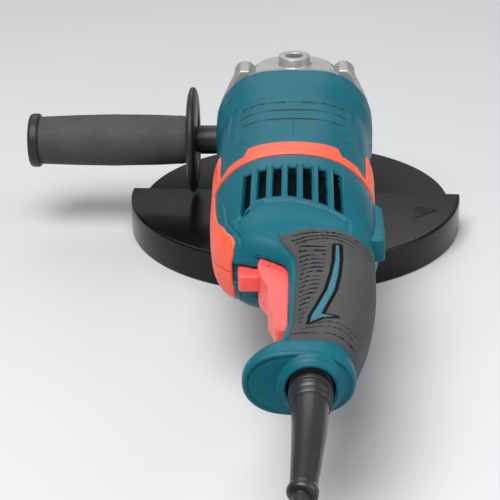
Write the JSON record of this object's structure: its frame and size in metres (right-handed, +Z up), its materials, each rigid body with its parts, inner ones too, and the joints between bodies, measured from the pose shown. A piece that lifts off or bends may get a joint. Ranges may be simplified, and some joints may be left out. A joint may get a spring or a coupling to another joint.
{
  "type": "angle grinder",
  "caption": "Two-handed corded angle grinder for 230 mm discs, with a side handle, a turning rear handle with trigger, a half-round guard and a coiled cord.",
  "frame": {"origin": "on the spindle's axis, in the plane of the guard rim's lower edge, on which the tool rests", "axes": "+Z up along the spindle, +Y from the rear handle towards the gear case, +X away from the side handle"},
  "size_m": [0.324, 0.7295, 0.1293],
  "materials": {
    "cast_aluminium": "satin",
    "bright_steel": "satin",
    "dark_steel": "satin",
    "laminated_steel": "matt",
    "copper_wire": "satin",
    "carbon": "matt",
    "teal_plastic": "satin",
    "orange_plastic": "satin",
    "red_plastic": "satin",
    "grey_rubber": "matt",
    "black_plastic": "satin",
    "inner_plastic": "matt",
    "guard_paint": "gloss",
    "abrasive": "rough"
  },
  "bodies": {
    "motor_unit": {"gear_case": "cast_aluminium", "gear_case_screws": "bright_steel", "bearing_cover": "cast_aluminium", "bearing_cover_screws": "bright_steel", "spindle_lower_bearing": "bright_steel", "spindle_upper_bearing": "bright_steel", "front_motor_bearing": "bright_steel", "rear_motor_bearing": "bright_steel", "bearing_bridge": "cast_aluminium", "motor_housing": "teal_plastic", "housing_trim": "orange_plastic", "stator_core": "laminated_steel", "stator_coils": "copper_wire", "brush_holders": "inner_plastic", "carbon_brushes": "carbon", "brush_springs": "bright_steel", "handle_retaining_ring": "dark_steel", "side_handle_stud": "bright_steel", "side_handle_core": "black_plastic", "side_handle_flange": "black_plastic", "side_handle_grip": "black_plastic", "side_handle_end_cap": "black_plastic"},
    "spindle_set": {"spindle": "bright_steel", "driven_bevel_gear": "dark_steel", "gear_circlip": "dark_steel", "inner_flange": "dark_steel", "grinding_disc": "abrasive", "lock_nut": "dark_steel"},
    "armature": {"armature_shaft": "bright_steel", "pinion_gear": "dark_steel", "pinion_nut": "bright_steel", "armature_core": "laminated_steel", "armature_windings": "copper_wire", "commutator": "copper_wire", "cooling_fan": "inner_plastic"},
    "spindle_lock": {"spindle_lock_button": "red_plastic", "spindle_lock_spring": "bright_steel"},
    "guard": {"guard_shell": "guard_paint", "guard_clamp_band": "guard_paint", "guard_clamp_screw": "bright_steel"},
    "rear_handle": {"handle_shell_upper": "teal_plastic", "handle_shell_lower": "teal_plastic", "rubber_grip_upper": "grey_rubber", "rubber_grip_lower": "grey_rubber", "handle_screws": "bright_steel", "bell_pad": "orange_plastic", "trigger_pin": "bright_steel", "switch_body": "inner_plastic", "capacitor": "inner_plastic", "cord_clamp": "inner_plastic"},
    "trigger": {"trigger": "red_plastic", "lock_off_pin": "bright_steel"},
    "lock_off": {"lock_off_lever": "red_plastic"},
    "handle_lock": {"handle_lock_button": "teal_plastic"},
    "cord": {"strain_relief": "grey_rubber", "cord_lead": "grey_rubber", "cord_coil": "grey_rubber", "cord_tail": "grey_rubber", "plug_body": "grey_rubber", "plug_pins": "bright_steel"}
  },
  "joints": [
    {"name": "spindle_spin", "type": "hinge", "parent": "motor_unit", "child": "spindle_set", "pos_m": [0, 0, 0.013], "axis": [0, 0, 1], "continuous": true},
    {"name": "armature_spin", "type": "hinge", "parent": "motor_unit", "child": "armature", "pos_m": [0, -0.1, 0.082], "axis": [0, -1, 0], "continuous": true},
    {"name": "spindle_lock_press", "type": "slide", "parent": "motor_unit", "child": "spindle_lock", "axis": [0, 0, -1], "range_m": [0, 0.003], "stiffness_N_per_m": 600, "springref_m": -0.006, "deforming": ["spindle_lock_spring"]},
    {"name": "guard_turn", "type": "hinge", "parent": "motor_unit", "child": "guard", "pos_m": [0, 0, 0.023], "axis": [0, 0, 1], "range_deg": [-90, 90]},
    {"name": "handle_turn", "type": "hinge", "parent": "motor_unit", "child": "rear_handle", "pos_m": [0, -0.178, 0.082], "axis": [0, -1, 0], "range_deg": [0, 180]},
    {"name": "trigger_pull", "type": "hinge", "parent": "rear_handle", "child": "trigger", "pos_m": [0.003, -0.338, 0.082], "axis": [0, 0, -1], "range_deg": [0, 5], "stiffness_Nm_per_rad": 1.5, "springref_deg": -20.05},
    {"name": "lock_off_push", "type": "hinge", "parent": "trigger", "child": "lock_off", "pos_m": [-0.013, -0.275, 0.082], "axis": [0, 0, 1], "range_deg": [0, 18], "stiffness_Nm_per_rad": 0.05, "springref_deg": -34.38},
    {"name": "handle_lock_press", "type": "slide", "parent": "rear_handle", "child": "handle_lock", "axis": [-1, 0, 0], "range_m": [0, 0.003], "stiffness_N_per_m": 600, "springref_m": -0.006},
    {"name": "cord_swivel", "type": "hinge", "parent": "rear_handle", "child": "cord", "pos_m": [0.0105, -0.39, 0.082], "axis": [0, -1, 0], "range_deg": [-180, 0]}
  ],
  "couplings": [
    {"joint": "armature_spin", "follows": "spindle_spin", "ratio": 2.8462},
    {"joint": "cord_swivel", "follows": "handle_turn", "ratio": -1}
  ]
}
